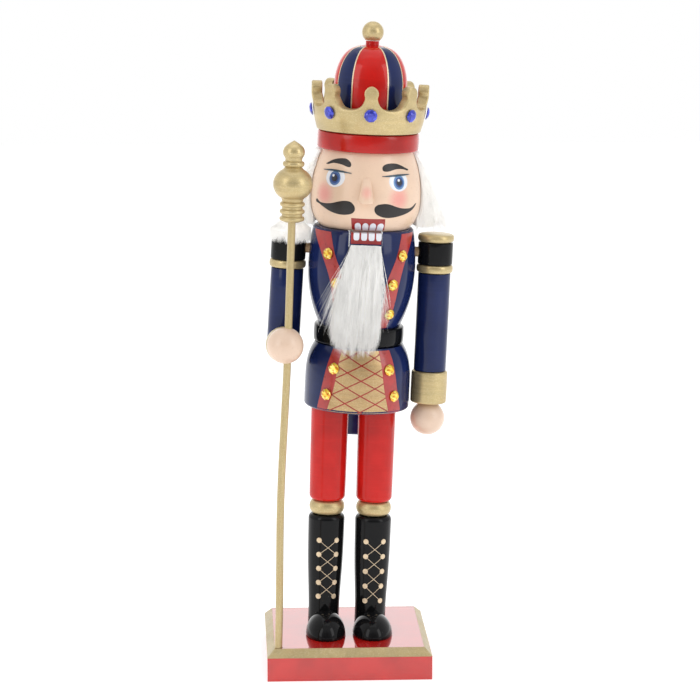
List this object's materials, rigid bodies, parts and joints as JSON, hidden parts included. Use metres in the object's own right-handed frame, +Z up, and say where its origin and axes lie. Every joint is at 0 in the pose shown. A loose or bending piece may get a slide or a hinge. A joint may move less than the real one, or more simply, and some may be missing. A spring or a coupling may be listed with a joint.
{
  "type": "nutcracker figure",
  "caption": "Free-standing painted wooden nutcracker king with a crown and sceptre, whose hinged jaw opens when the lever behind the coat is lifted.",
  "frame": {"origin": "centre of the base's underside, on the surface it stands on", "axes": "+Z up, the figure faces -Y, the sceptre is on the -X side"},
  "size_m": [0.1123, 0.1013, 0.3828],
  "materials": {
    "navy_lacquer": "gloss",
    "red_lacquer": "gloss",
    "gold_lacquer": "satin",
    "black_lacquer": "gloss",
    "skin_lacquer": "satin",
    "white_fur": "matte",
    "amber_stone": "polished",
    "blue_stone": "polished",
    "bare_wood": "matte",
    "steel": "satin"
  },
  "bodies": {
    "figure": {"arm_cuff_left": "gold_lacquer", "arm_cuff_right": "gold_lacquer", "base_plate": "red_lacquer", "base_screw_left": "steel", "base_screw_right": "steel", "belt": "black_lacquer", "boot_cuff_left": "gold_lacquer", "boot_cuff_right": "gold_lacquer", "boot_left": "black_lacquer", "boot_right": "black_lacquer", "chest_block": "navy_lacquer", "chest_button_left_1": "amber_stone", "chest_button_left_2": "amber_stone", "chest_button_left_3": "amber_stone", "chest_button_right_1": "amber_stone", "chest_button_right_2": "amber_stone", "chest_button_right_3": "amber_stone", "crown": "gold_lacquer", "crown_gem_1": "blue_stone", "crown_gem_2": "blue_stone", "crown_gem_3": "blue_stone", "crown_gem_4": "blue_stone", "crown_gem_5": "blue_stone", "crown_gem_6": "blue_stone", "crown_gem_7": "blue_stone", "crown_gem_8": "blue_stone", "epaulette_left": "black_lacquer", "epaulette_right": "black_lacquer", "finial_ball": "gold_lacquer", "forearm_sleeve_left": "navy_lacquer", "hair": "white_fur", "hand_left": "skin_lacquer", "hand_right": "skin_lacquer", "hat_band": "red_lacquer", "hat_dome": "red_lacquer", "head": "skin_lacquer", "nose": "skin_lacquer", "pivot_pin": "steel", "sceptre_head": "gold_lacquer", "sceptre_rod": "gold_lacquer", "shoe_left": "black_lacquer", "shoe_right": "black_lacquer", "shoulder_cap_left": "gold_lacquer", "shoulder_cap_right": "gold_lacquer", "shoulder_peg_left": "bare_wood", "shoulder_peg_right": "bare_wood", "skirt_block": "navy_lacquer", "skirt_button_left_1": "amber_stone", "skirt_button_left_2": "amber_stone", "skirt_button_right_1": "amber_stone", "skirt_button_right_2": "amber_stone", "sleeve_left": "navy_lacquer", "sleeve_right": "navy_lacquer", "sleeve_ring_left": "gold_lacquer", "sleeve_ring_right": "gold_lacquer", "trouser_left": "red_lacquer", "trouser_right": "red_lacquer"},
    "jaw": {"jaw_lever": "navy_lacquer"},
    "beard": {"beard": "white_fur"}
  },
  "joints": [
    {"name": "jaw_hinge", "type": "hinge", "parent": "figure", "child": "jaw", "pos_m": [0.00936, -0.002, 0.24441], "axis": [0.999, 0, -0.0436], "range_deg": [0, 18]},
    {"name": "beard_hang", "type": "hinge", "parent": "jaw", "child": "beard", "pos_m": [0.00987, -0.0336, 0.2562], "axis": [0.999, 0, -0.0436], "range_deg": [-18, 0]}
  ],
  "couplings": [
    {"joint": "beard_hang", "follows": "jaw_hinge", "ratio": -1}
  ]
}
